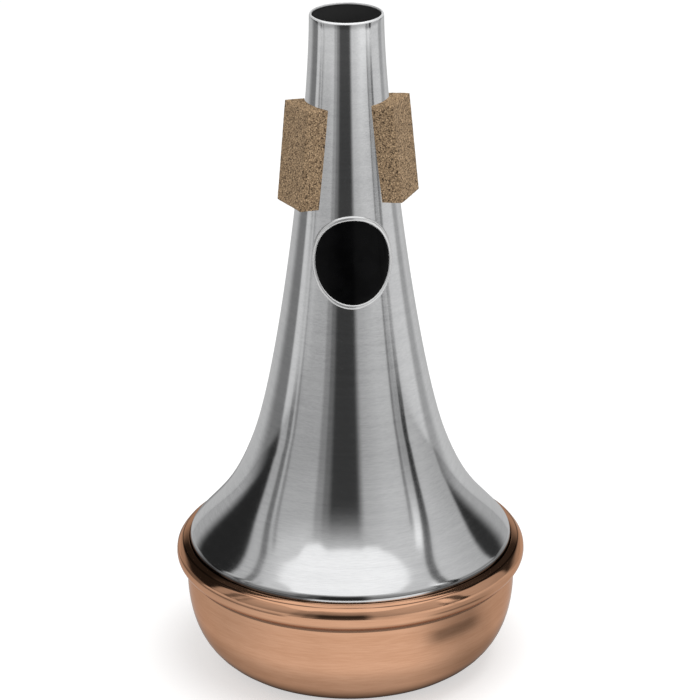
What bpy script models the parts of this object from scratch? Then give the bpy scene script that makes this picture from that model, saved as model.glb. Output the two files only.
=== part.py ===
import bpy
import bmesh
from math import acos, atan2, cos, hypot, pi, radians, sin, tan
from mathutils import Vector

# Straight mute for a trombone: a spun aluminium horn curled into the rolled rim of a
# spun copper cup, three cork pads round the neck and an oval badge on the front.
# Origin at the middle of the underside, +Z up through the neck, the badge faces -Y.
# Azimuths are counted from the badge side (-Y) towards +X.

# Horn outside, from the neck down
overall_height = 0.260
neck_radius = 0.0138
neck_taper = 0.0061
neck_reach = 0.0362
waist_height = 0.0918
waist_radius = 0.03686
waist_slope = 0.3365
waist_reach_up = 0.0344
waist_reach_down = 0.0242
flare_slope = 0.7276
flare_reach = 0.01334
shoulder_radius = 0.0043
horn_wall = 0.0008
rim_round = 0.0002

# Seam between the horn's skirt and the rolled bead of the cup
skirt_radius = 0.0621
clearance = 0.0003
skirt_sink = 0.0006
curl_radius = 0.0005

# Copper cup
cup_wall = 0.0007
cup_depth = 0.0387
mouth_step = 0.00132
cup_lean = 0.0362
cup_wall_reach = 0.01573
base_flat_radius = 0.0342
base_reach = 0.0268
bead_overhang = 0.00388
bead_roundness = 0.00555
bead_lower_height = 0.00646
bead_upper_height = 0.0057
crease_radius = 0.0004

# Cork pads: thickness is at the middle, over the glue line on the horn, and the drop is
# from the rim of the neck to the middle of the pad
cork_width = 0.0172
cork_length = 0.0372
cork_thickness = 0.00635
cork_edge = 0.0004
cork_right_azimuth = radians(67.4)
cork_left_azimuth = radians(-59.2)
cork_rear_azimuth = radians(184.1)
cork_right_drop = 0.0501
cork_left_drop = 0.0523
cork_rear_drop = 0.0512

# Badge: a stamped oval plate formed round the horn below the pads, with a dark field in it
badge_azimuth = radians(4.6)
badge_gap = 0.00123
badge_half_width = 0.0160
badge_half_height = 0.0175
badge_rim_width = 0.0013
badge_rim_height = 0.00105
badge_floor = 0.00035
badge_edge = 0.00018
badge_draft = 0.0001
field_thickness = 0.00032

# Mesh divisions
turn_steps = 56
neck_steps = 13
flare_steps = 7
shoulder_steps = 3
curl_steps = 4
crease_steps = 2
bead_steps = 5
cup_steps = 8
badge_sides = 36
cork_columns = 8
cork_rows = 4


# Profile tools, on points (radius, height)

def bezier(a, b, c, d, steps):
    points = []
    for i in range(steps + 1):
        t = i / steps
        u = 1 - t
        k = (u * u * u, 3 * u * u * t, 3 * u * t * t, t * t * t)
        points.append(tuple(k[0] * a[j] + k[1] * b[j] + k[2] * c[j] + k[3] * d[j] for j in (0, 1)))
    return points


def arc(centre, across, along, start, end, steps):
    points = []
    for i in range(steps + 1):
        angle = start + (end - start) * i / steps
        points.append((centre[0] + across * cos(angle), centre[1] + along * sin(angle)))
    return points


def direction(a, b):
    length = hypot(b[0] - a[0], b[1] - a[1])
    return ((b[0] - a[0]) / length, (b[1] - a[1]) / length)


def fillet(before, corner, after, radius, steps):
    # Arc that rounds the corner between two straight stretches
    d1 = direction(before, corner)
    d2 = direction(corner, after)
    turn = atan2(d1[0] * d2[1] - d1[1] * d2[0], d1[0] * d2[0] + d1[1] * d2[1])
    side = 1 if turn > 0 else -1
    reach = radius * tan(abs(turn) / 2)
    first = (corner[0] - d1[0] * reach, corner[1] - d1[1] * reach)
    centre = (first[0] - d1[1] * radius * side, first[1] + d1[0] * radius * side)
    start = atan2(first[1] - centre[1], first[0] - centre[0])
    return arc(centre, radius, radius, start, start + turn, steps)


def join(*paths):
    joined = []
    for path in paths:
        for point in path:
            if not joined or hypot(point[0] - joined[-1][0], point[1] - joined[-1][1]) > 1e-7:
                joined.append(point)
    return joined


def offset(path, distance):
    # Parallel path, to the left of its direction, mitred so that the wall keeps its thickness
    moved = []
    last = len(path) - 1
    for i, point in enumerate(path):
        d1 = direction(path[max(i - 1, 0)], path[max(i, 1)])
        d2 = direction(path[min(i, last - 1)], path[min(i + 1, last)])
        n = (-d1[1] - d2[1], d1[0] + d2[0])
        size = hypot(n[0], n[1])
        n = (n[0] / size, n[1] / size)
        stretch = distance / (n[0] * -d1[1] + n[1] * d1[0])
        moved.append((point[0] + n[0] * stretch, point[1] + n[1] * stretch))
    return moved


# Places that follow from the sizes

cork_right_height = overall_height - cork_right_drop
cork_left_height = overall_height - cork_left_drop
cork_rear_height = overall_height - cork_rear_drop
badge_height = min(cork_right_height, cork_left_height) - cork_length / 2 - badge_gap - badge_half_height
cup_mouth_radius = skirt_radius + mouth_step
bead_radius = cup_mouth_radius + bead_overhang


# Cup outline, from the middle of the underside out and up to the lip of the bead

bead_centre_radius = bead_radius - bead_roundness
bead_start = -acos((cup_mouth_radius - bead_centre_radius) / bead_roundness)
bead_height = cup_depth - bead_lower_height * sin(bead_start)
lip_radius = skirt_radius + clearance
lip_height = bead_height + bead_upper_height


def bead_lower(steps):
    centre = (bead_centre_radius, bead_height)
    return arc(centre, bead_roundness, bead_lower_height, bead_start, 0, steps)


def bead_upper(steps):
    centre = (lip_radius, bead_height)
    return arc(centre, bead_radius - lip_radius, bead_upper_height, 0, pi / 2, steps)


def cup_outline(steps):
    mouth = (cup_mouth_radius, cup_depth)
    wall_pull = (mouth[0] + cup_wall_reach * sin(cup_lean), mouth[1] - cup_wall_reach * cos(cup_lean))
    foot = (base_flat_radius, 0)
    bowl = bezier(foot, (foot[0] + base_reach, 0), wall_pull, mouth, steps)
    under = bead_lower(bead_steps)
    crease = fillet(bowl[-2], mouth, under[1], crease_radius, crease_steps)
    return join([(0, 0)], bowl[:-1], crease, under[1:], bead_upper(bead_steps))


# Horn outline, from the rim of the neck down the outside, over the shoulder, down the
# skirt inside the lip of the bead and round the curl that lines the lower half of the bead

skirt_top = lip_height - skirt_sink
flare_end = (
    skirt_radius - shoulder_radius * (1 - cos(flare_slope)),
    skirt_top + shoulder_radius * sin(flare_slope),
)
waist = (waist_radius, waist_height)
neck_top = (neck_radius, overall_height)
neck_curve = (
    neck_top,
    (neck_radius + neck_reach * sin(neck_taper), overall_height - neck_reach * cos(neck_taper)),
    (waist_radius - waist_reach_up * sin(waist_slope), waist_height + waist_reach_up * cos(waist_slope)),
    waist,
)
flare_curve = (
    waist,
    (waist_radius + waist_reach_down * sin(waist_slope), waist_height - waist_reach_down * cos(waist_slope)),
    (flare_end[0] - flare_reach * sin(flare_slope), flare_end[1] + flare_reach * cos(flare_slope)),
    flare_end,
)


def horn_outline():
    rim = [(neck_radius - rim_round, overall_height), (neck_radius, overall_height - rim_round)]
    neck = bezier(*neck_curve, neck_steps)
    flare = bezier(*flare_curve, flare_steps)
    centre = (skirt_radius - shoulder_radius, skirt_top)
    shoulder = arc(centre, shoulder_radius, shoulder_radius, flare_slope, 0, shoulder_steps)
    # The curl follows the inside of the bead, past the wall of the cup and the clearance
    lining = offset(bead_lower(bead_steps), cup_wall + clearance + horn_wall)
    back = direction(lining[1], lining[0])
    run = (lining[0][0] - skirt_radius) / -back[0]
    corner = (skirt_radius, lining[0][1] + back[1] * run)
    curl = fillet((skirt_radius, skirt_top), corner, lining[1], curl_radius, curl_steps)
    return join(rim, neck[1:], flare, shoulder, curl, lining[1:])


def horn_radius(height):
    # Outer radius and slope of the finished horn at a height, by halving along its curve
    curve = neck_curve if height > waist_height else flare_curve
    low = 0.0
    high = 1.0
    for _ in range(50):
        middle = (low + high) / 2
        u = 1 - middle
        z = [u * u * u, 3 * u * u * middle, 3 * u * middle * middle, middle * middle * middle]
        if sum(k * p[1] for k, p in zip(z, curve)) > height:
            low = middle
        else:
            high = middle
    t = (low + high) / 2
    u = 1 - t
    weights = (u * u * u, 3 * u * u * t, 3 * u * t * t, t * t * t)
    radius = sum(k * p[0] for k, p in zip(weights, curve))
    steep = (3 * u * u, 6 * u * t, 3 * t * t)
    dr = sum(k * (curve[i + 1][0] - curve[i][0]) for i, k in enumerate(steep))
    dz = sum(k * (curve[i + 1][1] - curve[i][1]) for i, k in enumerate(steep))
    return radius, atan2(dr, -dz)


# Scene helpers

def material(name, colour, roughness, metallic):
    mat = bpy.data.materials.new(name)
    mat.use_nodes = True
    shader = mat.node_tree.nodes["Principled BSDF"]
    shader.inputs["Base Color"].default_value = (*colour, 1)
    shader.inputs["Roughness"].default_value = roughness
    shader.inputs["Metallic"].default_value = metallic
    mat.diffuse_color = (*colour, 1)
    return mat


def finish(bm, name, mat, parent):
    bmesh.ops.remove_doubles(bm, verts=bm.verts, dist=1e-7)
    bmesh.ops.recalc_face_normals(bm, faces=bm.faces)
    mesh = bpy.data.meshes.new(name)
    bm.to_mesh(mesh)
    bm.free()
    mesh.materials.append(mat)
    mesh.shade_smooth()
    mesh.set_sharp_from_angle(angle=radians(35))
    piece = bpy.data.objects.new(name, mesh)
    piece.parent = parent
    bpy.context.scene.collection.objects.link(piece)
    return piece


def turned(name, outside, inside, mat, parent):
    # Spin a closed wall section round the axis
    bm = bmesh.new()
    section = [bm.verts.new((r, 0, z)) for r, z in outside + inside[::-1]]
    edges = [bm.edges.new((section[i - 1], section[i])) for i in range(len(section))]
    bmesh.ops.spin(
        bm,
        geom=section + edges,
        axis=(0, 0, 1),
        cent=(0, 0, 0),
        angle=2 * pi,
        steps=turn_steps,
        use_merge=True,
    )
    bmesh.ops.remove_doubles(bm, verts=bm.verts, dist=1e-6)
    return finish(bm, name, mat, parent)


def formed_to_horn(bm, azimuth, height):
    # Bend a flat blank, face up in +Z, round the horn: X goes round, Y up the slope, Z out
    slope = horn_radius(height)[1]
    for vert in bm.verts:
        across, up, lift = vert.co
        radius, lean = horn_radius(height + up * cos(slope))
        around = azimuth + across / (radius + lift)
        reach = radius + lift * cos(lean)
        z = height + up * cos(slope) + lift * sin(lean)
        vert.co = (reach * sin(around), -reach * cos(around), z)


def oval(half_width, half_height, lift):
    # A flat oval blank with one face, to be raised and stepped
    bm = bmesh.new()
    bmesh.ops.create_circle(bm, cap_ends=True, segments=badge_sides, radius=1)
    bmesh.ops.scale(bm, vec=(half_width, half_height, 1), verts=bm.verts)
    bmesh.ops.translate(bm, vec=(0, 0, lift), verts=bm.verts)
    return bm


def ring_faces(bm, face, widths):
    # Step a round face inwards so that it can follow the curve of the horn
    for width in widths:
        bmesh.ops.inset_region(bm, faces=[face], thickness=width, use_even_offset=True)
    bmesh.ops.poke(bm, faces=[face])


def plate(half_width, half_height, lift, thickness):
    # An oval plate of even thickness: returns the mesh, its top face and its under face
    bm = oval(half_width, half_height, lift)
    under = bm.faces[:][0]
    raised = bmesh.ops.extrude_face_region(bm, geom=[under], use_keep_orig=True)["geom"]
    top = [item for item in raised if isinstance(item, bmesh.types.BMFace)][0]
    bmesh.ops.translate(bm, vec=(0, 0, thickness), verts=list(top.verts))
    bmesh.ops.recalc_face_normals(bm, faces=bm.faces)
    return bm, top, under


# The pieces

def make_horn(parent, mat):
    outside = horn_outline()
    inside = offset(outside[2:], -horn_wall)
    # The bore's edge at the neck is eased like the outer one
    inside_top = (neck_radius - horn_wall, overall_height - rim_round)
    rim_inner = (neck_radius - horn_wall + rim_round, overall_height)
    inside = [rim_inner, inside_top] + inside
    return turned("horn_body", outside, inside, mat, parent)


def make_cup(parent, mat):
    outside = cup_outline(cup_steps)
    inside = offset(outside, cup_wall)
    inside[0] = (0, cup_wall)
    inside[-1] = (lip_radius, lip_height - cup_wall)
    return turned("copper_base", outside, inside, mat, parent)


def make_cork(name, azimuth, height, parent, mat):
    # A block cut to lie along the slope of the horn, its inner face hollowed to the horn
    radius, slope = horn_radius(height)
    out = Vector((0, -cos(slope), sin(slope)))
    up = Vector((0, sin(slope), cos(slope)))
    across = Vector((1, 0, 0))
    seat = Vector((0, -radius, height))
    bm = bmesh.new()
    bmesh.ops.create_grid(bm, x_segments=cork_columns, y_segments=cork_rows, size=0.5)
    inner = list(bm.verts)
    grown = bmesh.ops.extrude_face_region(bm, geom=list(bm.faces), use_keep_orig=True)["geom"]
    outer = [item for item in grown if isinstance(item, bmesh.types.BMVert)]
    outer_faces = [item for item in grown if isinstance(item, bmesh.types.BMFace)]
    for vert in outer:
        vert.co.z = 1
    for vert in bm.verts:
        x = vert.co.x * cork_width
        y = vert.co.y * cork_length
        if vert.co.z > 0.5:
            vert.co = seat + across * x + up * y + out * cork_thickness
            continue
        depth = 0.0
        for _ in range(30):
            point = seat + across * x + up * y + out * depth
            wall, lean = horn_radius(point.z)
            depth += ((wall - hypot(point.x, point.y)) * cos(lean) + clearance) * 0.8
        vert.co = seat + across * x + up * y + out * depth
    bmesh.ops.recalc_face_normals(bm, faces=bm.faces)
    bmesh.ops.dissolve_faces(bm, faces=outer_faces)
    edge_ring = [e for e in bm.edges if all(v in outer for v in e.verts)]
    bmesh.ops.bevel(bm, geom=edge_ring, offset=cork_edge, segments=1, profile=0.5, affect="EDGES", material=-1)
    piece = finish(bm, name, mat, parent)
    piece.rotation_euler.z = azimuth
    return piece


def make_badge_plate(parent, mat):
    bm, top, under = plate(badge_half_width, badge_half_height, clearance, badge_rim_height - badge_edge)
    # Raised rim with eased edges round a sunk floor, whose wall has a little draft
    steps = (
        (badge_edge, badge_edge),
        (badge_rim_width - 2 * badge_edge - badge_draft, 0),
        (badge_edge, -badge_edge),
        (badge_draft, badge_edge + badge_floor - badge_rim_height),
    )
    for width, rise in steps:
        bmesh.ops.inset_region(bm, faces=[top], thickness=width, depth=rise, use_even_offset=True)
    inner = badge_half_width - badge_rim_width
    ring_faces(bm, top, (inner * 0.26,) * 3)
    ring_faces(bm, under, (badge_half_width * 0.24,) * 3)
    formed_to_horn(bm, badge_azimuth, badge_height)
    return finish(bm, "badge_plate", mat, parent)


def make_badge_field(parent, mat):
    lift = clearance + badge_floor + clearance
    half_width = badge_half_width - badge_rim_width - clearance
    half_height = badge_half_height - badge_rim_width - clearance
    bm, top, under = plate(half_width, half_height, lift, field_thickness)
    ring_faces(bm, top, (half_width * 0.26,) * 3)
    ring_faces(bm, under, (half_width * 0.26,) * 3)
    formed_to_horn(bm, badge_azimuth, badge_height)
    return finish(bm, "badge_field", mat, parent)


def main():
    for old in list(bpy.data.objects):
        bpy.data.objects.remove(old, do_unlink=True)
    mute = bpy.data.objects.new("mute", None)
    bpy.context.scene.collection.objects.link(mute)
    aluminium = material("spun_aluminium", (0.74, 0.75, 0.77), 0.24, 1.0)
    copper = material("spun_copper", (0.86, 0.55, 0.38), 0.18, 1.0)
    cork = material("cork", (0.50, 0.36, 0.22), 0.9, 0.0)
    bright = material("badge_metal", (0.80, 0.81, 0.83), 0.16, 1.0)
    black = material("badge_black", (0.012, 0.012, 0.014), 0.2, 0.0)
    make_horn(mute, aluminium)
    make_cup(mute, copper)
    make_cork("cork_right", cork_right_azimuth, cork_right_height, mute, cork)
    make_cork("cork_left", cork_left_azimuth, cork_left_height, mute, cork)
    make_cork("cork_rear", cork_rear_azimuth, cork_rear_height, mute, cork)
    make_badge_plate(mute, bright)
    make_badge_field(mute, black)


main()
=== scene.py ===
from math import atan2, cos, hypot, pi, radians, sin

import bmesh
import bpy
from mathutils import Matrix, Vector, noise
from mathutils.geometry import interpolate_bezier


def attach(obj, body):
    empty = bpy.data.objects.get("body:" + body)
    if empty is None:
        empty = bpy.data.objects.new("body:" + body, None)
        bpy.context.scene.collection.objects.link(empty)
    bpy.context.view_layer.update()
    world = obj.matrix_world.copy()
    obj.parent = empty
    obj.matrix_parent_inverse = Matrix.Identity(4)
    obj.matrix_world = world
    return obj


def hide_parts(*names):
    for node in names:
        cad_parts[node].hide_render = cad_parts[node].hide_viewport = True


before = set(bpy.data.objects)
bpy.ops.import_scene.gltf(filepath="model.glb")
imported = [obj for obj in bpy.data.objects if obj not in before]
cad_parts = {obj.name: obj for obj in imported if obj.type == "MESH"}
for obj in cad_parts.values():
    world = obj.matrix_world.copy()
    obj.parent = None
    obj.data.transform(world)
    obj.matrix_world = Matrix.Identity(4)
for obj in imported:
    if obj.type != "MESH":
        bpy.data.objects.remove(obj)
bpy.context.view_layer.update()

# Straight mute for a trombone: spun aluminium horn in a spun copper cup, cork pads, oval badge.
# Metres, the badge faces -Y, azimuths run from -Y towards +X.

print("frame loaded:", ", ".join(sorted(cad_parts)))


# Camera

camera = {
    "place": (0.0004, -1.2240, 0.6303),
    "aim": (0.0004, 0.0, 0.12662),
    "sensor": 36,
    "lens": 179.13,
    "roll": radians(-0.42),
    "clipEnd": 50,
}


def makeCamera(facts):
    data = bpy.data.cameras.new("camera")
    data.sensor_width = facts["sensor"]
    data.lens = facts["lens"]
    data.clip_end = facts["clipEnd"]
    cam = bpy.data.objects.new("camera", data)
    look = Vector(facts["aim"]) - Vector(facts["place"])
    cam.rotation_euler = look.to_track_quat("-Z", "Y").to_euler()
    cam.rotation_euler.rotate_axis("Z", facts["roll"])
    cam.location = facts["place"]
    bpy.context.scene.collection.objects.link(cam)
    bpy.context.scene.camera = cam


makeCamera(camera)
bpy.context.scene.view_settings.view_transform = "Standard"
print("camera set")


# Shader sums: a Wire is a socket that can be used like a number

class Wire:
    def __init__(self, tree, socket=None):
        self.tree = tree
        self.socket = socket

    def node(self, kind, settings=None, inputs=None, out=0):
        made = self.tree.nodes.new(kind)
        for name, value in (settings or {}).items():
            setattr(made, name, value)
        for name, value in (inputs or {}).items():
            self.feed(made.inputs[name], value)
        return Wire(self.tree, made.outputs[out] if made.outputs else None)

    def feed(self, socket, value):
        if isinstance(value, Wire):
            self.tree.links.new(value.socket, socket)
        elif isinstance(value, tuple) and len(value) == 3 and len(socket.default_value) == 4:
            socket.default_value = (*value, 1)
        else:
            socket.default_value = value

    def maths(self, operation, *values):
        return self.node("ShaderNodeMath", {"operation": operation}, dict(enumerate(values)))

    def __add__(self, other):
        return self.maths("ADD", self, other)

    def __radd__(self, other):
        return self.maths("ADD", other, self)

    def __sub__(self, other):
        return self.maths("SUBTRACT", self, other)

    def __rsub__(self, other):
        return self.maths("SUBTRACT", other, self)

    def __mul__(self, other):
        return self.maths("MULTIPLY", self, other)

    def __rmul__(self, other):
        return self.maths("MULTIPLY", other, self)

    def __truediv__(self, other):
        return self.maths("DIVIDE", self, other)

    def __pow__(self, other):
        return self.maths("POWER", self, other)

    def rise(self, start, end):
        # 0 before start, 1 after end, smooth between
        inputs = {"Value": self, "From Min": start, "From Max": end}
        return self.node("ShaderNodeMapRange", {"interpolation_type": "SMOOTHSTEP"}, inputs)

    def band(self, start, end, soft):
        # 1 between start and end, and each edge is soft on both sides
        return self.rise(start - soft, start + soft) - self.rise(end - soft, end + soft)

    def colours(self, first, second):
        # Colour mix, with this wire as the factor: the mix node's colours are its sockets 6 and 7
        return self.node("ShaderNodeMix", {"data_type": "RGBA"}, {0: self, 6: first, 7: second}, 2)

    def numbers(self, first, second):
        # Number mix, with this wire as the factor
        return first + (second - first) * self

    def split(self):
        parts = self.node("ShaderNodeSeparateXYZ", None, {0: self}).socket.node.outputs
        return tuple(Wire(self.tree, part) for part in parts)

    def join(self, x, y, z):
        return self.node("ShaderNodeCombineXYZ", None, {0: x, 1: y, 2: z})

    def cloud(self, scale, detail=2.0, rough=0.5):
        # Noise that reads this wire as its coordinates
        inputs = {"Vector": self, "Scale": scale, "Detail": detail, "Roughness": rough}
        return self.node("ShaderNodeTexNoise", None, inputs)

    def bump(self, depth, strength=1.0):
        return self.node("ShaderNodeBump", None, {"Strength": strength, "Distance": depth, "Height": self})


class Finish:
    # A named material, with its shader sockets and its place coordinates at hand
    def __init__(self, name, solid, **fixed):
        self.mat = bpy.data.materials.new(name)
        self.mat.use_nodes = True
        self.mat.diffuse_color = (*solid, 1)
        self.shader = self.mat.node_tree.nodes["Principled BSDF"]
        self.wires = Wire(self.mat.node_tree)
        self.place = self.wires.node("ShaderNodeTexCoord", out=3)
        self.set(**fixed)

    def set(self, **values):
        for key, value in values.items():
            self.wires.feed(self.shader.inputs[key.replace("_", " ")], value)

    def turned(self):
        # The place, and its distance from the axis
        x, y, z = self.place.split()
        return x, y, z, (x * x + y * y + 1e-9) ** 0.5

    def lathe(self, around, along):
        # Coordinates that follow the lathe: round the axis, and along the outline
        x, y, z, radius = self.turned()
        return self.wires.join(x / radius * around, y / radius * around, (z - radius) * along)


# Metals

aluminium = {
    "tone": (0.875, 0.88, 0.885),
    "shade": (0.74, 0.745, 0.755),
    "edge": (1.0, 1.0, 1.0),
    "roughness": 0.11,
    "spread": 0.06,
    "grooves": 1900,
    "length": 14.0,
    "depth": 0.0000012,
    "stretch": 0.2,
    "paintedShade": (0.03, 0.028, 0.026),
    # painted shade and dark reflection rows: height from, to, soft edge, strength, and the arc left
    # unshaded (sines of azimuth)
    "shadows": [
        (0.05175, 0.0526, 0.0003, 0.45, 0, 0),
        (0.05155, 0.0518, 0.00012, 0.95, 0, 0),
        (0.0503, 0.0516, 0.0002, 0.85, -0.24, 0.46),
        (0.0300, 0.05035, 0.00012, 1.0, 0, 0),
    ],
}
copper = {
    "tone": (0.80, 0.452, 0.285),
    "shade": (0.67, 0.355, 0.21),
    "edge": (1.0, 0.81, 0.69),
    "roughness": 0.09,
    "spread": 0.05,
    "grooves": 1700,
    "length": 8.0,
    "depth": 0.0000006,
    "stretch": 0.1,
    "paintedShade": (0.05, 0.025, 0.018),
    # painted shade along the crease on top of the bead, deeper away from the front
    "shadows": [
        (0.04942, 0.04957, 0.00006, 0.55, 0, 0),
        (0.04938, 0.04960, 0.00006, 0.6, -0.2, 0.15),
    ],
}
neckEnd = {
    "radius": 0.0138,
    "top": 0.2600,
    "taper": 0.031,
    "rimDepth": (0.0008, 0.0004),  # below the top, from the outside's finish to the rim's
    "skin": (0.0003, 0.0005),  # into the wall, from the outside's finish to the inside's duller finish and painted shade
    "insideLow": (0.22, 0.225),  # heights over which the inside's duller finish and painted shade set in
    # the inside's colour is painted shade
    "inside": (0.06, 0.06, 0.06),
    "rim": (0.95, 0.955, 0.96),
}
# Painted shade in the crease under the bead
crease = {"low": 0.0386, "high": 0.0414, "soft": 0.0002, "amount": 0.8, "shadeColour": (0.11, 0.065, 0.045)}


# Each kind of wear and painted shade gives the colour, how much less metallic it makes the surface, and how
# much rougher

def neckShadeAndWear(colour, radius, z):
    # Inside the neck the metal is duller and its colour is painted dark as shade, and its cut rim is rubbed
    # to a pale satin
    rimLow, rimHigh = neckEnd["rimDepth"]
    rim = z.rise(neckEnd["top"] - rimLow, neckEnd["top"] - rimHigh)
    depth = neckEnd["radius"] + (neckEnd["top"] - z) * neckEnd["taper"] - radius
    inside = depth.rise(*neckEnd["skin"]) * z.rise(*neckEnd["insideLow"]) * (1 - rim)
    colour = inside.colours(rim.colours(colour, neckEnd["rim"]), neckEnd["inside"])
    return colour, 0.9 * inside + 0.7 * rim, 0.4 * inside + 0.15 * rim


def creaseShade(colour, _, z):
    # Painted shade in the crease under the bead, all the way round
    mask = z.band(crease["low"], crease["high"], crease["soft"])
    return (mask * crease["amount"]).colours(colour, crease["shadeColour"]), 0.25 * mask, 0.3 * mask


def spunMetal(name, facts, shadeAndWear):
    made = Finish(
        name, facts["tone"], Specular_Tint=facts["edge"],
        Anisotropic=facts["stretch"], Anisotropic_Rotation=0.25,
    )
    # Fine grooves, bands five times broader, and smears from handling
    lines = made.lathe(facts["length"], facts["grooves"]).cloud(1.0, 1.5, 0.6)
    bands = made.lathe(facts["length"] * 0.08, facts["grooves"] / 5).cloud(1.0, 2.0)
    smear = made.place.cloud(28.0, 3.0)
    tint = (lines * 0.4 + bands * 0.35 + smear * 0.25).rise(0.25, 0.7)
    colour = tint.colours(facts["shade"], facts["tone"])
    rough = facts["roughness"] + facts["spread"] * (lines * 0.5 + bands * 0.35 + smear * 0.4 - 0.62)
    # Painted shade and painted dark reflections along the rolled seam, some of it only away from the front
    x, _, z, radius = made.turned()
    for low, high, soft, amount, left, right in facts["shadows"]:
        shadow = z.band(low, high, soft) * amount
        if left < right:
            shadow = shadow * (1 - (x / radius).band(left, right, 0.06))
        colour = shadow.colours(colour, facts["paintedShade"])
    colour, dull, rougher = shadeAndWear(colour, radius, z)
    made.set(
        Base_Color=colour,
        Metallic=1 - dull,
        Roughness=rough + rougher,
        Normal=(lines + bands * 0.8).bump(facts["depth"]),
    )
    return made.mat


plating = {
    "solid": (0.92, 0.925, 0.93),
    "tone": (0.90, 0.90, 0.90),
    "shade": (0.82, 0.825, 0.83),
    "metal": 0.72,
    "roughness": 0.12,
    "spread": 0.10,
    "depth": 0.0000012,
}
enamel = {
    "solid": (0.002, 0.002, 0.0022),
    "tone": (0.003, 0.003, 0.0033),
    "shade": (0.0012, 0.0012, 0.0014),
    "coat": 0.06,
    "coatRoughness": 0.05,
    "gloss": 0.06,
    "roughness": 0.16,
    "spread": 0.12,
    "depth": 0.00002,
}


def satinPlating(facts):
    made = Finish("satin plating", facts["solid"], Metallic=facts["metal"])
    grain = made.place.cloud(1800.0, 2.0, 0.6)
    smear = made.place.cloud(120.0)
    made.set(
        Base_Color=smear.rise(0.3, 0.7).colours(facts["shade"], facts["tone"]),
        Roughness=facts["roughness"] + facts["spread"] * grain,
        Normal=grain.bump(facts["depth"]),
    )
    return made.mat


def blackEnamel(facts):
    made = Finish(
        "black enamel", facts["solid"], Coat_Weight=facts["coat"],
        Coat_Roughness=facts["coatRoughness"], Specular_IOR_Level=facts["gloss"],
    )
    ripple = made.place.cloud(160.0)
    speck = made.place.cloud(1500.0, 1.0)
    made.set(
        Base_Color=ripple.rise(0.3, 0.7).colours(facts["shade"], facts["tone"]),
        Roughness=facts["roughness"] + facts["spread"] * speck,
        Normal=(ripple + speck * 0.08).bump(facts["depth"]),
    )
    return made.mat


# Cork: pressed granules with dark pores

cork = {
    "pale": (0.65, 0.455, 0.275),
    "middle": (0.40, 0.27, 0.155),
    "seam": (0.15, 0.092, 0.05),
    "pore": (0.035, 0.021, 0.012),
    "roughness": 0.92,
    "gloss": 0.2,
    "granules": 1150.0,
    "granuleBend": 0.0007,
    "pores": 1450.0,
    "grain": 2600.0,
    "contrast": 1.9,
    "depth": 0.00028,
}


def pressedCork(facts):
    made = Finish("cork", facts["middle"], Roughness=facts["roughness"], Specular_IOR_Level=facts["gloss"])
    bend = made.wires.node("ShaderNodeTexNoise", None, {"Vector": made.place, "Scale": 900.0}, 1)
    moved = made.wires.node(
        "ShaderNodeVectorMath", {"operation": "MULTIPLY_ADD"},
        {0: bend, 1: (facts["granuleBend"],) * 3, 2: made.place},
    )
    cells = {"Vector": moved, "Scale": facts["granules"]}
    shade = made.wires.node("ShaderNodeTexVoronoi", {"feature": "F1"}, cells, 1).split()[0]
    gap = made.wires.node("ShaderNodeTexVoronoi", {"feature": "DISTANCE_TO_EDGE"}, cells)
    seams = 1 - gap.rise(0.02, 0.14)
    pores = made.place.cloud(facts["pores"], 4.0, 0.7).rise(0.53, 0.63)
    grain = made.place.cloud(facts["grain"], 3.0, 0.65)
    tone = shade * 0.5 + (grain - 0.5) * facts["contrast"] + 0.3
    colour = tone.rise(0.1, 0.9).colours(facts["middle"], facts["pale"])
    colour = (seams * 0.7).colours(colour, facts["seam"])
    colour = (pores * 0.92).colours(colour, facts["pore"])
    height = grain * 0.35 + shade * 0.25 - seams * 0.35 - pores * 0.9
    made.set(Base_Color=colour, Normal=height.bump(facts["depth"], 0.9))
    return made.mat


aluminiumMat = spunMetal("spun aluminium", aluminium, neckShadeAndWear)
copperMat = spunMetal("spun copper", copper, creaseShade)
corkMat = pressedCork(cork)
platingMat = satinPlating(plating)
enamelMat = blackEnamel(enamel)
print("materials made")


# Spun shells. A rail is a row of Bezier knots in millimetres, (radius, height), each with the
# handle before it and the handle after it. It is turned round the axis and given its wall.

horn = {
    "wall": 0.0008,
    "turns": 256,
    "rings": 200,  # to the metre
    "plainHeight": 0.2,  # where the shell is one plain wall
    "rim": (0.2595, 0.2605),
    "rimRound": 0.00015,
    "knots": [
        ((12.95, 260.0), (12.95, 260.0), (13.45, 260.0)),  # lip
        ((13.8, 259.15), (13.8, 259.62), (14.02, 223.8)),  # neck
        ((36.86, 91.8), (25.50, 124.3), (44.90, 69.0)),  # flare
        ((61.27, 53.12), (52.50, 63.1), (61.81, 52.51)),  # shoulder
        ((62.1, 50.9), (62.1, 51.72), (62.1, 47.0)),  # skirt
        ((62.1, 41.3), (62.1, 43.0), (62.1, 40.7)),  # curl in the bead
        ((62.9, 40.5), (62.5, 40.45), (64.4, 41.0)),
        ((65.5, 44.9), (65.5, 42.9), (65.5, 44.9)),
    ],
}


def railPoints(knots, rings):
    # Each stretch gets a few rings, and more along its length
    points = []
    for start, end in zip(knots, knots[1:]):
        four = [Vector((x, 0, z)) / 1000 for x, z in (start[0], start[2], end[1], end[0])]
        steps = round(6 + rings * (four[3] - four[0]).length)
        run = interpolate_bezier(*four, steps)
        points += run[1:] if points else run
    return points


def spinRail(bm, points, turns):
    rail = [bm.verts.new(point) for point in points]
    edges = [bm.edges.new(pair) for pair in zip(rail, rail[1:])]
    bmesh.ops.spin(
        bm, geom=rail + edges, axis=(0, 0, 1), cent=(0, 0, 0), angle=2 * pi, steps=turns, use_merge=True
    )


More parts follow.
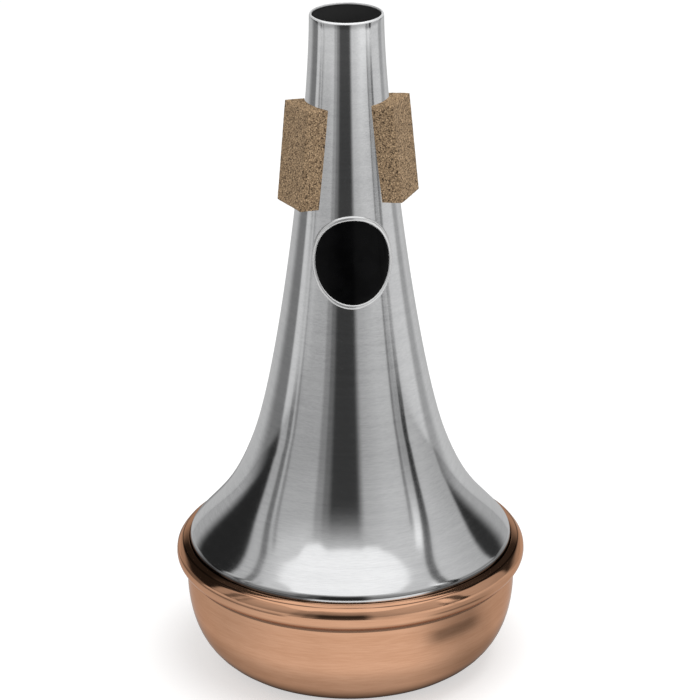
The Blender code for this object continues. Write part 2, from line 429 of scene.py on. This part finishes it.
def easeRim(bm, low, high, offset):
    # Round the two edges of a rim: level rings whose faces meet nearly square, between two heights
    sharp = [
        e for e in bm.edges
        if low < e.verts[0].co.z < high and abs(e.verts[0].co.z - e.verts[1].co.z) < 1e-6
        and len(e.link_faces) == 2 and e.calc_face_angle(0) > radians(50)
    ]
    bmesh.ops.bevel(bm, geom=sharp, offset=offset, segments=3, profile=0.5, affect="EDGES", material=-1)


def turnShell(facts):
    # The rail goes once round, its doubles merge, and the shell thickens inwards from it
    bm = bmesh.new()
    spinRail(bm, railPoints(facts["knots"], facts["rings"]), facts["turns"])
    bmesh.ops.remove_doubles(bm, verts=bm.verts, dist=1e-6)
    bmesh.ops.recalc_face_normals(bm, faces=bm.faces)
    bm.normal_update()
    # Which way is out is settled on the open shell: at the plain height it faces away from the axis
    ring = min(bm.faces, key=lambda f: abs(f.calc_center_median().z - facts["plainHeight"]))
    middle = ring.calc_center_median()
    if ring.normal.dot(Vector((middle.x, middle.y, 0))) < 0:
        bmesh.ops.reverse_faces(bm, faces=bm.faces)
    bmesh.ops.solidify(bm, geom=bm.faces[:], thickness=facts["wall"])
    bmesh.ops.recalc_face_normals(bm, faces=bm.faces)
    easeRim(bm, *facts["rim"], facts["rimRound"])
    return bm


def finishPiece(bm, name, mat, sharp=40):
    mesh = bpy.data.meshes.new(name)
    bm.to_mesh(mesh)
    bm.free()
    mesh.materials.append(mat)
    mesh.shade_smooth()
    mesh.set_sharp_from_angle(angle=radians(sharp))
    piece = bpy.data.objects.new(name, mesh)
    bpy.context.scene.collection.objects.link(piece)
    return piece


def makeHorn():
    piece = finishPiece(turnShell(horn), "horn_shell", aluminiumMat)
    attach(piece, "root")
    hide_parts("horn_body")
    return piece


cup = {
    "wall": 0.0007,
    "turns": 256,
    "rings": 300,
    "plainHeight": 0.02,
    "rim": (0.0495, 0.0507),
    "rimRound": 0.0002,
    "knots": [
        ((0.0, 0.0), (0.0, 0.0), (11.4, 0.0)),  # middle of the base
        ((34.2, 0.0), (22.8, 0.0), (61.0, 0.0)),
        ((63.40, 38.5), (63.97, 23.2), (63.40, 38.8)),  # crease
        ((63.75, 39.6), (63.46, 39.35), (65.5, 40.5)),
        ((67.3, 44.5), (67.3, 42.6), (67.3, 45.9)),  # bead
        ((66.8, 47.36), (67.1, 46.9), (66.36, 48.03)),
        ((65.2, 49.35), (65.69, 49.0), (64.79, 49.64)),
        ((62.45, 50.2), (63.3, 50.05), (62.45, 50.2)),  # lip against the skirt
    ],
}


def makeCup():
    piece = finishPiece(turnShell(cup), "copper_cup", copperMat)
    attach(piece, "root")
    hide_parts("copper_base")
    return piece


hornPiece = makeHorn()
cupPiece = makeCup()
print("spun shells made:", len(hornPiece.data.polygons), "and", len(cupPiece.data.polygons), "faces")


# What sits on the horn follows its outline, read closely from the lip to the shoulder

outlineTable = railPoints(horn["knots"][:4], 2000)


def hornAt(height):
    # Radius of the horn at a height, and how far its side leans out
    low, high = 0, len(outlineTable) - 1
    while high - low > 1:
        middle = (low + high) // 2
        if outlineTable[middle].z > height:
            low = middle
        else:
            high = middle
    a, b = outlineTable[low], outlineTable[high]
    share = (a.z - height) / (a.z - b.z)
    return a.x + (b.x - a.x) * share, atan2(b.x - a.x, a.z - b.z)


# Cork pads

pads = {
    "width": 0.0172,
    "thickness": 0.00635,
    "glue": 0.0001,
    "cell": 0.0004,
    # azimuth, height and length of each
    "places": {
        "cork_right": (67.4, 0.2100, 0.0374),
        "cork_left": (-59.2, 0.2083, 0.0384),
        "cork_rear": (184.1, 0.2090, 0.0376),
    },
    # depth of the roughness, and how close its crumbs, waves and holes are
    "rough": 0.00016,
    "crumbs": 1100,
    "waves": 420,
    "holes": 800,
}


def padBlock(length):
    bm = bmesh.new()
    bmesh.ops.create_cube(bm, size=1)
    size = (pads["width"], length, pads["thickness"])
    bmesh.ops.scale(bm, vec=size, verts=bm.verts)
    for axis in range(3):
        along = [e for e in bm.edges if abs((e.verts[0].co - e.verts[1].co)[axis]) > 1e-5]
        cuts = round(size[axis] / pads["cell"])
        bmesh.ops.subdivide_edges(bm, edges=along, cuts=cuts, use_grid_fill=True)
    return bm


def seatPad(bm, height):
    # The block's inner face is hollowed to the metal, and its outer face stays flat
    radius, lean = hornAt(height)
    seat = Vector((0, -radius, height))
    out = Vector((0, -cos(lean), sin(lean)))
    up = Vector((0, sin(lean), cos(lean)))
    across = Vector((1, 0, 0))
    for v in bm.verts:
        spot = seat + across * v.co.x + up * v.co.y
        depth = 0.0
        for _ in range(12):
            point = spot + out * depth
            wall, tilt = hornAt(point.z)
            depth += ((wall - hypot(point.x, point.y)) * cos(tilt) + pads["glue"]) * 0.8
        share = v.co.z / pads["thickness"] + 0.5
        v.co = spot + out * (depth + (pads["thickness"] - depth) * share)
    bmesh.ops.recalc_face_normals(bm, faces=bm.faces)
    bm.normal_update()
    return seat, out


def wearPad(bm, seat, out, seed):
    # Edges worn a little, and faces left as the knife and sander leave them
    edge = [v for v in bm.verts if any(e.calc_face_angle(0) > radians(40) for e in v.link_edges)]
    for _ in range(2):
        bmesh.ops.smooth_vert(bm, verts=edge, factor=0.5, use_axis_x=True, use_axis_y=True, use_axis_z=True)
    bm.normal_update()
    shift = Vector((seed * 3.1, seed * 1.7, seed * 5.3))
    for v in bm.verts:
        facing = abs(v.normal.dot(out))
        glued = facing > 0.7 and (v.co - seat).dot(out) < pads["thickness"] * 0.12
        if glued:
            continue
        crumb = noise.noise(v.co * pads["crumbs"] + shift)
        wave = noise.noise(v.co * pads["waves"] + shift)
        hole = max(0.0, noise.noise(v.co * pads["holes"] - shift) - 0.42) * 2.2
        rise = crumb * 0.5 + wave * 0.5 - hole - 0.2
        v.co += v.normal * pads["rough"] * (1 - facing * 0.55) * rise


def makePad(name, azimuth, height, length, seed):
    bm = padBlock(length)
    seat, out = seatPad(bm, height)
    wearPad(bm, seat, out, seed)
    turn = Matrix.Rotation(radians(azimuth), 3, "Z")
    bmesh.ops.rotate(bm, cent=(0, 0, 0), matrix=turn, verts=bm.verts)
    piece = finishPiece(bm, name.replace("cork_", "cork_pad_"), corkMat, 60)
    piece.visible_glossy = False
    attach(piece, "root")
    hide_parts(name)
    return piece


for seed, (name, (azimuth, height, length)) in enumerate(pads["places"].items()):
    made = makePad(name, azimuth, height, length, seed + 1)
    print("cork pad made:", made.name, len(made.data.polygons), "faces")


# Badge: stamped oval with a half-round rim, and an enamel field let into it

badge = {
    "azimuth": radians(4.7),
    "height": 0.17037,
    "halfWidth": 0.0165,
    "halfHeight": 0.0177,
    "lift": 0.0001,
    "edge": 0.0003,
    "rimWidth": 0.0018,
    "rimHeight": 0.0009,
    "floor": 0.00035,
    "fieldThickness": 0.00035,
    "fieldGap": 0.00006,
    # inwards and up: enamel flows flat, with a soft shoulder at its edge
    "fieldShoulder": [(0.00006, 0.00006), (0.00012, 0.00004), (0.0003, 0.00002)],
    "sides": 160,
    "fanRings": 9,
}


def formToHorn(bm, facts):
    # A flat blank, face up in +Z, is bent round the horn: X goes round, Y up the slope, Z out
    slope = hornAt(facts["height"])[1]
    for v in bm.verts:
        across, up, lift = v.co
        radius, lean = hornAt(facts["height"] + up * cos(slope))
        around = facts["azimuth"] + across / (radius + lift)
        reach = radius + lift * cos(lean)
        v.co = (
            reach * sin(around),
            -reach * cos(around),
            facts["height"] + up * cos(slope) + lift * sin(lean),
        )


def ovalPlate(halfWidth, halfHeight, lift, thickness):
    bm = bmesh.new()
    bmesh.ops.create_circle(bm, cap_ends=True, segments=badge["sides"], radius=1)
    bmesh.ops.scale(bm, vec=(halfWidth, halfHeight, 1), verts=bm.verts)
    bmesh.ops.translate(bm, vec=(0, 0, lift), verts=bm.verts)
    under = bm.faces[:][0]
    raised = bmesh.ops.extrude_face_region(bm, geom=[under], use_keep_orig=True)["geom"]
    top = [g for g in raised if isinstance(g, bmesh.types.BMFace)][0]
    bmesh.ops.translate(bm, vec=(0, 0, thickness), verts=list(top.verts))
    bmesh.ops.recalc_face_normals(bm, faces=bm.faces)
    return bm, top, under


def stepIn(bm, face, steps):
    for width, rise in steps:
        bmesh.ops.inset_region(bm, faces=[face], thickness=width, depth=rise, use_even_offset=True)


def closeFace(bm, face, halfWidth):
    # Level rings nearly to the middle let a wide face bend, and a fan closes it
    rings = badge["fanRings"]
    stepIn(bm, face, [(halfWidth * 0.94 / rings, 0)] * rings)
    bmesh.ops.poke(bm, faces=[face])


def makeBadgePlate():
    bm, top, under = ovalPlate(badge["halfWidth"], badge["halfHeight"], badge["lift"], badge["edge"])
    # Quarter-round up to the top of the rim, quarter-round down again, and a steep last step
    rimRise = badge["rimHeight"] - badge["edge"]
    across = badge["rimWidth"] * 0.5
    turn = [i * pi / 12 for i in range(7)]
    outer = [(across * (cos(a) - cos(b)), rimRise * (sin(b) - sin(a))) for a, b in zip(turn, turn[1:])]
    inner = [(width, -rise) for width, rise in reversed(outer[1:])]
    width, rise = outer[0]
    inner.append((width, rise + badge["floor"] - badge["rimHeight"]))
    stepIn(bm, top, outer + inner)
    closeFace(bm, top, badge["halfWidth"] - badge["rimWidth"])
    closeFace(bm, under, badge["halfWidth"])
    formToHorn(bm, badge)
    bmesh.ops.recalc_face_normals(bm, faces=bm.faces)
    piece = finishPiece(bm, "badge_rim_plate", platingMat, 60)
    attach(piece, "root")
    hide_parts("badge_plate")
    return piece


def makeBadgeField():
    inset = badge["rimWidth"] + badge["fieldGap"]
    halfWidth = badge["halfWidth"] - inset
    shoulderWidth = sum(width for width, rise in badge["fieldShoulder"])
    shoulderRise = sum(rise for width, rise in badge["fieldShoulder"])
    bm, top, under = ovalPlate(
        halfWidth, badge["halfHeight"] - inset, badge["lift"] + badge["floor"] + badge["fieldGap"],
        badge["fieldThickness"] - shoulderRise,
    )
    stepIn(bm, top, badge["fieldShoulder"])
    closeFace(bm, top, halfWidth - shoulderWidth)
    closeFace(bm, under, halfWidth)
    formToHorn(bm, badge)
    bmesh.ops.recalc_face_normals(bm, faces=bm.faces)
    piece = finishPiece(bm, "badge_enamel", enamelMat, 60)
    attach(piece, "root")
    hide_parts("badge_field")
    return piece


platePiece = makeBadgePlate()
fieldPiece = makeBadgeField()
print("badge made:", len(platePiece.data.polygons), "and", len(fieldPiece.data.polygons), "faces")


# Studio: pale floor, white room, one large lamp overhead, and cards that only reflections see

studio = {
    "floor": 0.62,
    "floorLift": 0.545,
    "floorBounce": 0.9,
    "floorRadius": 6,
    "room": 0.55,
    "lampPower": 15.0,
    "lampSize": 1.2,
    "lampPlace": (0.24, -0.20, 1.72),
    "lampAim": (0, 0, 0.12),
    # rails of the reflected table with its far wall, and of the near wall: radius, height
    "table": [(0.032, 0.0002), (3.0, 0.0002), (3.0, 0.45)],
    "wall": [(0.8, 0.105), (0.8, 1.15)],
    "nearTone": 0.86,
    "farTone": 0.66,
    "wallTone": 0.38,
    "unlitLeft": 0.02,
    "unlitRight": 0.03,
    "ceiling": 0.895,
    # narrow cards: azimuth from, to, soft edge, tone low down, tone high up, top height
    "cards": [
        (-88.6, -82.6, 0.9, 0.15, 0.17, 0.80),
        (-81.8, -79.0, 0.8, 0.48, 0.48, 0.50),
        (-78.6, -75.2, 0.8, 0.22, 0.30, 0.72),
        (61.6, 65.4, 0.9, 0.16, 0.36, 0.56),
        (66.2, 73.0, 1.0, 0.32, 0.98, 0.76),
        (73.8, 81.2, 1.0, 0.02, 0.12, 1.00),
    ],
}


def onlyReflected(piece):
    piece.visible_camera = False
    piece.visible_diffuse = False
    piece.visible_shadow = False


def stageObject(bm, name, mat):
    mesh = bpy.data.meshes.new(name)
    bm.to_mesh(mesh)
    bm.free()
    mesh.materials.append(mat)
    made = bpy.data.objects.new(name, mesh)
    bpy.context.scene.collection.objects.link(made)
    return made


def emptyTree(owner):
    owner.use_nodes = True
    owner.node_tree.nodes.clear()
    return Wire(owner.node_tree)


def seenBySight(wires):
    # 1 where the camera looks, straight, by reflection or through glass
    rays = wires.node("ShaderNodeLightPath").socket.node.outputs
    kinds = ("Is Camera Ray", "Is Glossy Ray", "Is Transmission Ray")
    straight, mirrored, through = (Wire(wires.tree, rays[kind]) for kind in kinds)
    return (straight + mirrored + through).rise(0.0, 1.0)


def makeFloor():
    mat = bpy.data.materials.new("floor")
    wires = emptyTree(mat)
    plain = wires.node("ShaderNodeBsdfDiffuse", None, {"Color": (studio["floorBounce"],) * 3})
    seen = wires.node("ShaderNodeBsdfDiffuse", None, {"Color": (studio["floor"],) * 3})
    glow = {"Color": (1.0, 1.0, 1.0), "Strength": studio["floorLift"]}
    lift = wires.node("ShaderNodeEmission", None, glow)
    pale = wires.node("ShaderNodeAddShader", None, {0: seen, 1: lift})
    mixed = wires.node("ShaderNodeMixShader", None, {0: seenBySight(wires), 1: plain, 2: pale})
    wires.node("ShaderNodeOutputMaterial", None, {"Surface": mixed})
    bm = bmesh.new()
    bmesh.ops.create_circle(bm, cap_ends=True, segments=96, radius=studio["floorRadius"])
    stageObject(bm, "floor", mat)


# Tones of the reflected studio. Azimuths are in degrees, and left is the same angle the other way.

def farTable(azimuth, left):
    far = studio["farTone"] + 0.21 * azimuth.rise(20, 50) - 0.21 * azimuth.rise(70, 82)
    far = far - 0.28 * azimuth.rise(110, 119) + 0.20 * azimuth.rise(126, 140)
    far = far - 0.08 * azimuth.rise(140, 170)
    far = far - 0.10 * left.band(71, 78, 2) - 0.46 * left.rise(98, 103) + 0.30 * left.rise(118, 142)
    return far - 0.20 * azimuth.band(62.5, 67.5, 1.2)


def nearTable(azimuth, left, reach):
    near = studio["nearTone"] - 0.05 * left.rise(0, 25) - 0.25 * left.rise(25, 82)
    near = near - 0.06 * left.rise(85, 115) - 0.39 * azimuth.rise(25, 66)
    near = near + 0.08 * azimuth.rise(80, 94) - 0.07 * azimuth.rise(120, 170)
    # Dark right at the foot of the cup, and a dim patch at each side
    near = near * (0.06 + 0.56 * reach.rise(0.046, 0.060) + 0.38 * reach.rise(0.060, 0.083))
    near = near * (1 - 0.55 * azimuth.band(44, 78, 7) * reach.band(0.100, 0.126, 0.010))
    return near * (1 - 0.65 * left.rise(34, 42) * reach.band(0.172, 0.270, 0.012))


def plainWall(azimuth, left, z):
    tone = studio["wallTone"] + 0.12 * azimuth.rise(12, 46) - 0.09 * azimuth.rise(80, 118)
    tone = tone + 0.02 * left.rise(60, 95)
    # Brighter higher up, and at the foot of the wall
    tone = tone + 0.06 * z.rise(0.16, 0.36) + z.rise(0.4, 0.75) * (0.05 + 0.14 * left.band(40, 78, 10))
    sides = azimuth.rise(58, 66) + left.rise(68, 72)
    return tone + (1 - z.rise(0.045, 0.085)) * (0.24 - 0.18 * sides)


def unlitRoom(tone, azimuth, left, z):
    # Unlit depth of the room behind the object, on both sides, and wider higher up
    deep = left.rise(97.5, 101.5) * (1 - (left - 170 * z).rise(93, 126)) * z.rise(0.02, 0.07)
    tone = deep.numbers(tone, studio["unlitLeft"])
    deep = azimuth.rise(116.5, 121) * (1 - (azimuth - 170 * z).rise(90, 128)) * z.rise(0.02, 0.08)
    return deep.numbers(tone, studio["unlitRight"])


def studioTone(wires):
    x, y, height = wires.node("ShaderNodeTexCoord", out=3).split()
    reach = (x * x + y * y) ** 0.5
    azimuth = wires.maths("ARCTAN2", x, 0 - y) * (180 / pi * 1.042)
    left = 0 - azimuth
    # The near wall has its own height, and past its foot the distance counts as height
    distance = reach + 0.28 * wires.maths("ABSOLUTE", azimuth).rise(20, 66)
    z = height * (1 - reach.rise(0.9, 1.0)) + 0.08 * distance.rise(1.34, 1.60)
    far = farTable(azimuth, left)
    tone = z.rise(0.024, 0.056).numbers(far, plainWall(azimuth, left, z))
    tone = unlitRoom(tone, azimuth, left, z)
    shown = wires.maths("MAXIMUM", distance.rise(1.33, 1.41), z.rise(0.04, 0.075))
    for start, end, soft, low, high, top in studio["cards"]:
        card = azimuth.band(start, end, soft) * (1 - z.rise(top - 0.12, top + 0.05)) * shown
        tone = card.numbers(tone, z.rise(0.12, 0.62).numbers(low, high))
    table = reach.rise(0.18, 0.28).numbers(nearTable(azimuth, left, reach), far)
    tone = reach.rise(0.42, 0.70).numbers(table, tone)
    # A dimmer ring far out on the table
    tone = tone * (1 - 0.25 * distance.band(1.52, 1.85, 0.10))
    # Dim gap in the lights round the camera: three steps on the left, one on the right
    dim = 0.42 * azimuth.rise(-40, -36) + 0.30 * azimuth.rise(-31, -28) + 0.28 * azimuth.rise(-25, -19)
    dim = dim * (1 - azimuth.rise(7, 17)) * reach.rise(0.24, 0.28)
    tone = dim.numbers(tone, z.rise(0.40, 0.95).numbers(0.04, 0.56) + 0.035 * (1 - z.rise(0.004, 0.02)))
    # The ceiling light starts lower on the left and just right of the middle, and higher farther right
    edge = z + 0.13 * left.band(28, 50, 6) - 0.10 * azimuth.rise(36, 60) + 0.05 * azimuth.band(14, 32, 4)
    tone = edge.rise(studio["ceiling"] - 0.03, studio["ceiling"] + 0.03).numbers(tone, 1.0)
    # High up behind the object there is no light
    return ((left.rise(96, 106) + azimuth.rise(96, 110)) * z.rise(0.72, 0.80)).numbers(tone, 0.05)


def makeCards():
    mat = bpy.data.materials.new("studio cards")
    wires = emptyTree(mat)
    tone = studioTone(wires)
    glow = wires.node("ShaderNodeEmission", None, {"Color": wires.join(tone, tone, tone), "Strength": 1.0})
    wires.node("ShaderNodeOutputMaterial", None, {"Surface": glow})
    bm = bmesh.new()
    for rail in (studio["table"], studio["wall"]):
        spinRail(bm, [(radius, 0, height) for radius, height in rail], 180)
    onlyReflected(stageObject(bm, "studio_cards", mat))


def makeRoom():
    world = bpy.data.worlds.new("room")
    bpy.context.scene.world = world
    wires = emptyTree(world)
    soft = wires.node("ShaderNodeBackground", None, {"Color": (1.0, 1.0, 1.0), "Strength": studio["room"]})
    white = wires.node("ShaderNodeBackground", None, {"Color": (1.0, 1.0, 1.0), "Strength": 1.0})
    mixed = wires.node("ShaderNodeMixShader", None, {0: seenBySight(wires), 1: soft, 2: white})
    wires.node("ShaderNodeOutputWorld", None, {"Surface": mixed})


def makeLamp():
    data = bpy.data.lights.new("overhead", "AREA")
    data.shape = "DISK"
    data.size = studio["lampSize"]
    data.energy = studio["lampPower"]
    lamp = bpy.data.objects.new("overhead", data)
    lamp.location = studio["lampPlace"]
    lamp.rotation_euler = (Vector(studio["lampAim"]) - lamp.location).to_track_quat("-Z", "Y").to_euler()
    lamp.visible_glossy = False
    lamp.visible_camera = False
    bpy.context.scene.collection.objects.link(lamp)


makeFloor()
makeCards()
makeRoom()
makeLamp()
print("studio lit")
